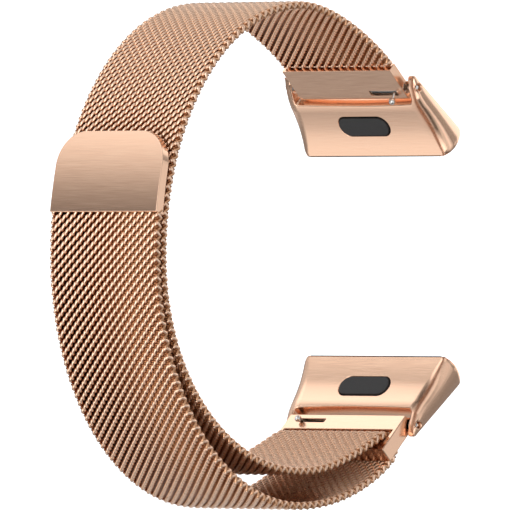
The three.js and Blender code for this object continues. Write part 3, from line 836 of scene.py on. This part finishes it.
def coil():
    """A compression spring, wound evenly."""
    low, high = SPRING_FROM_TO
    t = np.linspace(0, 1, COIL_TURNS * COIL_STEPS + 1)
    angle = 2 * math.pi * COIL_TURNS * t
    rise = low + COIL_WIRE + (high - low - 2 * COIL_WIRE) * t
    path = np.stack([COIL_RADIUS * np.cos(angle), rise, COIL_RADIUS * np.sin(angle)], 1)
    bm = bmesh.new()
    rings = []
    for here, a in zip(path, angle):
        outward = np.array((math.cos(a), 0, math.sin(a)))
        ring = [here + COIL_WIRE * (math.cos(b) * outward + math.sin(b) * np.array((0, 1, 0)))
                for b in np.linspace(0, 2 * math.pi, COIL_SIDES + 1)[:-1]]
        rings.append([bm.verts.new(p) for p in ring])
    for one, two in zip(rings, rings[1:]):
        for i in range(COIL_SIDES):
            j = (i + 1) % COIL_SIDES
            bm.faces.new([one[i], one[j], two[j], two[i]])
    bm.faces.new(rings[0][::-1])
    bm.faces.new(rings[-1])
    return solid(bm)


HOLDERS = {"upper": "band_upper_end", "lower": "frame"}
for end, place in ENDS.items():
    holder = HOLDERS[end]
    shown(f"{end}_tube_part", spring_bar_tube(end), place, STEEL, holder, "steel", f"{end}_spring_bar_tube")
    shown(f"{end}_pin_part", fixed_pin(), place, STEEL, holder, "steel", f"{end}_spring_bar_pin")
    lever = rounded(sliding_lever(end), EDGE_WIDTH["lever"])
    shown(f"{end}_lever_part", lever, place, STEEL, f"{end}_lever", "steel", f"{end}_release_lever")
    spring = shown(f"{end}_coil_part", coil(), place, SPRING_STEEL, holder, "spring_steel",
                   f"{end}_spring_bar_spring")
    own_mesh(spring)


# ---------------------------------------------------------------- case connectors
def widths(x):
    """Half-widths of a connector at its wrist-side edge, at mid-height and at its outer face."""
    past = max(0.0, x - SHELL_LENGTH + SHELL_CORNER)
    round_off = SHELL_CORNER_SHARE * (SHELL_CORNER - math.sqrt(max(0.0, SHELL_CORNER**2 - past**2)))
    wrist = curve_through(PANEL_X, PANEL_HALF, np.maximum(x, PANEL_X[0]))
    share = (x - EAR_TIP) / (SHELL_LENGTH - EAR_TIP)
    middle = MIDDLE_HALF[0] + (MIDDLE_HALF[1] - MIDDLE_HALF[0]) * share
    outer = OUTER_HALF[0] + (OUTER_HALF[1] - OUTER_HALF[0]) * share
    return wrist - round_off, middle - round_off, outer - round_off


def side_profile(wrist, middle, outer):
    """One side from the wrist face to the outer face: shares of the height, and half-widths there."""
    turn = np.linspace(0, math.pi / 2, 10)
    rest = np.linspace(0, 1, 7)[1:]
    share = np.concatenate([SIDE_PEAK * (1 - np.cos(turn)), SIDE_PEAK + (1 - SIDE_PEAK) * rest])
    half = np.concatenate([wrist + (middle - wrist) * np.sin(turn), middle - (middle - outer) * rest**2])
    return share, half


def shell_heights(x):
    """Heights of a connector's wrist-side and outer faces."""
    low = curve_through(*EAR_CURVE, x) if x < NOTCH_DEPTH else curve_through(PANEL_X, PANEL_Z, x)
    high = OUTER_RISE[0] + (OUTER_RISE[1] - OUTER_RISE[0]) * (x - EAR_TIP) / (SHELL_LENGTH - EAR_TIP)
    short = max(0.0, EAR_TIP + EAR_ROUND - x)
    return float(low), high - EAR_ROUND + math.sqrt(EAR_ROUND**2 - short**2)


def connector_hull():
    """The connector's outside, as sections along it."""
    tip = EAR_TIP + EAR_ROUND * (1 - np.cos(np.linspace(0, math.pi / 2, 7)))
    ear = np.linspace(*EAR_SECTIONS, 8)
    panel = np.linspace(PANEL_SECTIONS_FROM, SHELL_LENGTH - SHELL_CORNER, 14)
    case_end = SHELL_LENGTH - SHELL_CORNER * (1 - np.sin(np.linspace(0, math.pi / 2, 8)[1:]))
    bm = bmesh.new()
    sections = []
    for x in (*tip, *ear, *panel, *case_end):
        low, high = shell_heights(x)
        share, half = side_profile(*widths(x))
        heights = low + (high - low) * share
        ring = [(x, y, z) for y, z in zip(half, heights)]
        ring += [(x, -y, z) for y, z in zip(half[::-1], heights[::-1])]
        sections.append([bm.verts.new(p) for p in ring])
    for one, two in zip(sections, sections[1:]):
        for i in range(len(one)):
            j = (i + 1) % len(one)
            bm.faces.new([one[i], one[j], two[j], two[i]])
    bm.faces.new(sections[0][::-1])
    bm.faces.new(sections[-1])
    return solid(bm)


def notch_outline():
    corner = NOTCH_CORNER
    bow = [(NOTCH_DEPTH + NOTCH_BOW * (1 - (y / NOTCH_HALF) ** 2), y)
           for y in np.linspace(-NOTCH_HALF + corner, NOTCH_HALF - corner, 25)]
    depth = bow[0][0]
    return [
        (-4, -NOTCH_HALF),
        *arc_points((depth - corner, -NOTCH_HALF + corner), corner, -90, 0, 8)[:-1],
        *bow,
        *arc_points((depth - corner, NOTCH_HALF - corner), corner, 0, 90, 8)[1:],
        (-4, NOTCH_HALF),
    ]


BUTTON_TILT = Matrix.Rotation(BUTTON_SLOPE, 4, "Y")
BUTTON_PLACE = Matrix.Translation((BUTTON_CENTRE[0], 0, BUTTON_CENTRE[1])) @ BUTTON_TILT


def pill(length, width, top, bottom):
    """A block with round ends along Y, between two depths measured inward from the panel's face."""
    straight = (length - width) / 2
    one = arc_points((0, straight), width / 2, 0, 180, 28)
    other = arc_points((0, -straight), width / 2, 180, 360, 28)
    return moved(swept([*one, *other], top, bottom, "Z"), BUTTON_PLACE)


def connector_shell():
    shell = without(connector_hull(), swept(notch_outline(), -6, 4, "Z"))
    inside = [(x, z + SHELL_WALL) for x, z in zip(PANEL_X[1:], PANEL_Z[1:])]
    rise = (OUTER_RISE[1] - OUTER_RISE[0]) / (SHELL_LENGTH - EAR_TIP)
    roof = [OUTER_RISE[0] + rise * (x - EAR_TIP) - SHELL_WALL for x in (SHELL_LENGTH + 1, CAVITY_START)]
    cavity = [(CAVITY_START, inside[0][1]), *inside, (SHELL_LENGTH + 1, inside[-1][1]),
              (SHELL_LENGTH + 1, roof[0]), (CAVITY_START, roof[1])]
    hole = rod(EAR_HOLE, -16, 16)
    opening = pill(BUTTON_SIZE[0] + 2 * BUTTON_GAP, BUTTON_SIZE[1] + 2 * BUTTON_GAP, -1,
                   SHELL_WALL + FLANGE_DEPTH[1])
    without(shell, swept(cavity, -CAVITY_WIDTH / 2, CAVITY_WIDTH / 2), hole, opening)
    return rounded(shell, EDGE_WIDTH["shell"])


def release_button():
    cap = pill(*BUTTON_SIZE, -BUTTON_PROUD, SHELL_WALL + CAP_OVERLAP)
    length, width = (size + extra for size, extra in zip(BUTTON_SIZE, FLANGE_EXTRA))
    flange = pill(length, width, SHELL_WALL + FLANGE_DEPTH[0], SHELL_WALL + FLANGE_DEPTH[1])
    return rounded(joined(cap, flange), EDGE_WIDTH["button"], 4)


for end, place in ENDS.items():
    body = f"{end}_connector"
    shown(f"{end}_shell_part", connector_shell(), place, ROSE_SATIN, body, "rose_metal",
          f"{end}_connector_shell")
    shown(f"{end}_button_part", release_button(), place, BUTTON_DARK, f"{end}_button", "release_button",
          f"{end}_release_button")
    fitted(f"{end}_case_plug", place, STEEL, body, "steel", EDGE_WIDTH["case_plug"])
    fitted(f"{end}_latch", place, STEEL, f"{end}_latch_arm", "steel", EDGE_WIDTH["latch"])
    leaf = fitted(f"{end}_latch_spring", place, SPRING_STEEL, body, "spring_steel",
                  EDGE_WIDTH["latch_spring"])
    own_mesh(leaf)


# ---------------------------------------------------------------- studio, in metres
CAMERA_AZIMUTH = math.radians(43.7)
CAMERA_DISTANCE = 2.0
VIEW_WIDTH = 0.06919
VIEW_CENTRE = (0.00081, 0.00004)  # to the right of and above the origin

FLOOR_DROP = 0.007  # leaves room for the opened free end, which swings down past the loop
FLOOR_GLOW = 0.45
FLOOR_NEAR = -6.0
FLOOR_HALF_WIDTH = 6.0
BACKDROP_AT = 3.0
BACKDROP_RADIUS = 1.5
BACKDROP_TOP = 5.0
BACKDROP_STEPS = 24

SKY_BASE = 0.3  # light from everywhere
SKY_LEAST = 0.05
SKY = [
    # direction, cosines of the full and the zero edge, strength
    ((-0.05, 0.69, 0.73), 0.985, 0.955, 1.0),
    ((-0.1, 0.72, 0.68), 0.93, 0.7, 0.38),
    ((-0.72, 0.5, 0.5), 0.99, 0.945, 1.33),
    ((-0.7, 0.7, -0.12), 0.98, 0.88, -0.11),
    ((-0.7, 0.5, -0.75), 0.95, 0.76, 0.9),
    ((0.45, 0.69, -0.56), 0.95, 0.885, 0.4),
    ((-0.97, -0.1, -0.2), 0.95, 0.81, 2.3),
    ((-0.72, -0.69, 0), 0.9, 0.55, 0.5),
    ((-0.8, -0.2, -0.6), 0.98, 0.93, -0.8),
    ((0.42, -0.64, 0.64), 0.97, 0.91, 0.6),
    ((-0.33, 0.5, 0.8), 0.99, 0.975, -1.2),
    ((-0.33, 0.5, -0.8), 0.985, 0.95, -0.5),
    ((-0.55, 0, 0.83), 0.97, 0.9, 0.8),
    ((-0.18, -0.3, -0.93), 0.97, 0.85, -0.2),
    ((0.72, -0.69, 0), 0.993, 0.975, 0.6),
    ((0, -0.95, -0.32), 0.97, 0.85, 0.4),
    ((0.95, 0.05, 0.35), 0.93, 0.8, 1.1),
    ((-0.3, 0.1, 0.95), 0.93, 0.8, -0.12),
    ((0.3, 0, 0.95), 0.97, 0.9, 0.7),
    ((0.3, 0, -0.95), 0.97, 0.9, 0.35),
]


def lobe(tree, direction, inner, outer, strength, base):
    """Adds to a socket a soft patch of sky round a direction, between two cosines."""
    link = tree.links.new
    coords = tree.nodes["sky_direction"].outputs["Generated"]
    dot = tree.nodes.new("ShaderNodeVectorMath")
    dot.operation = "DOT_PRODUCT"
    dot.inputs[1].default_value = Vector(direction).normalized()
    link(coords, dot.inputs[0])
    patch = tree.nodes.new("ShaderNodeMapRange")
    patch.interpolation_type = "SMOOTHERSTEP"
    patch.inputs["From Min"].default_value = outer
    patch.inputs["From Max"].default_value = inner
    patch.inputs["To Max"].default_value = strength
    link(dot.outputs["Value"], patch.inputs["Value"])
    total = tree.nodes.new("ShaderNodeMath")
    link(base, total.inputs[0])
    link(patch.outputs["Result"], total.inputs[1])
    return total.outputs[0]


def studio_world():
    world = bpy.data.worlds.new("studio")
    bpy.context.scene.world = world
    world.use_nodes = True
    tree = world.node_tree
    link = tree.links.new
    coords = tree.nodes.new("ShaderNodeTexCoord")
    coords.name = "sky_direction"
    base = tree.nodes.new("ShaderNodeValue")
    base.outputs[0].default_value = SKY_BASE
    light = base.outputs[0]
    for direction, inner, outer, strength in SKY:
        light = lobe(tree, direction, inner, outer, strength, light)
    lit = tree.nodes.new("ShaderNodeMath")
    lit.operation = "MAXIMUM"
    lit.inputs[1].default_value = SKY_LEAST
    link(light, lit.inputs[0])
    path = tree.nodes.new("ShaderNodeLightPath")
    seen = tree.nodes.new("ShaderNodeMix")
    link(path.outputs["Is Camera Ray"], seen.inputs["Factor"])
    link(lit.outputs[0], seen.inputs["A"])
    seen.inputs["B"].default_value = 1.0
    background = tree.nodes["Background"]
    link(seen.outputs["Result"], background.inputs["Strength"])
    background.inputs["Color"].default_value = (1, 1, 1, 1)


def stage():
    """A pale floor that curves up into a backdrop."""
    level = cad_box[0][2] - FLOOR_DROP
    bend = np.linspace(0, math.pi / 2, BACKDROP_STEPS + 1)
    curve = [(BACKDROP_AT + BACKDROP_RADIUS * math.sin(a), BACKDROP_RADIUS * (1 - math.cos(a))) for a in bend]
    profile = [(FLOOR_NEAR, 0.0), *curve, (BACKDROP_AT + BACKDROP_RADIUS, BACKDROP_TOP)]
    view = Vector((math.cos(CAMERA_AZIMUTH), math.sin(CAMERA_AZIMUTH), 0))
    side = Vector((view.y, -view.x, 0))
    vertices = []
    for along, rise in profile:
        for across in (-FLOOR_HALF_WIDTH, FLOOR_HALF_WIDTH):
            place = view * along + side * across + Vector((0, 0, level + rise))
            vertices.append(tuple(place / MM))
    faces = []
    for i in range(len(profile) - 1):
        faces.append((2 * i, 2 * i + 1, 2 * i + 3, 2 * i + 2))
    material, _, shader = shader_tree("stage_white")
    shader.inputs["Base Color"].default_value = (0.95, 0.95, 0.95, 1)
    shader.inputs["Roughness"].default_value = 0.9
    shader.inputs["Emission Color"].default_value = (1, 1, 1, 1)
    shader.inputs["Emission Strength"].default_value = FLOOR_GLOW
    floor = piece("floor", vertices, faces, material)
    floor.visible_glossy = False


def camera():
    data = bpy.data.cameras.new("camera")
    data.sensor_width = 36
    data.lens = data.sensor_width * CAMERA_DISTANCE / VIEW_WIDTH
    data.clip_start = 0.1
    data.clip_end = 20
    obj = bpy.data.objects.new("camera", data)
    bpy.context.scene.collection.objects.link(obj)
    toward_camera = Vector((-math.cos(CAMERA_AZIMUTH), -math.sin(CAMERA_AZIMUTH), 0))
    right = Vector((math.sin(CAMERA_AZIMUTH), -math.cos(CAMERA_AZIMUTH), 0))
    centre = right * VIEW_CENTRE[0] + Vector((0, 0, VIEW_CENTRE[1]))
    obj.location = centre + toward_camera * CAMERA_DISTANCE
    obj.rotation_euler = toward_camera.to_track_quat("Z", "Y").to_euler()
    bpy.context.scene.camera = obj


studio_world()
stage()
camera()
bpy.context.scene.view_settings.view_transform = "Standard"
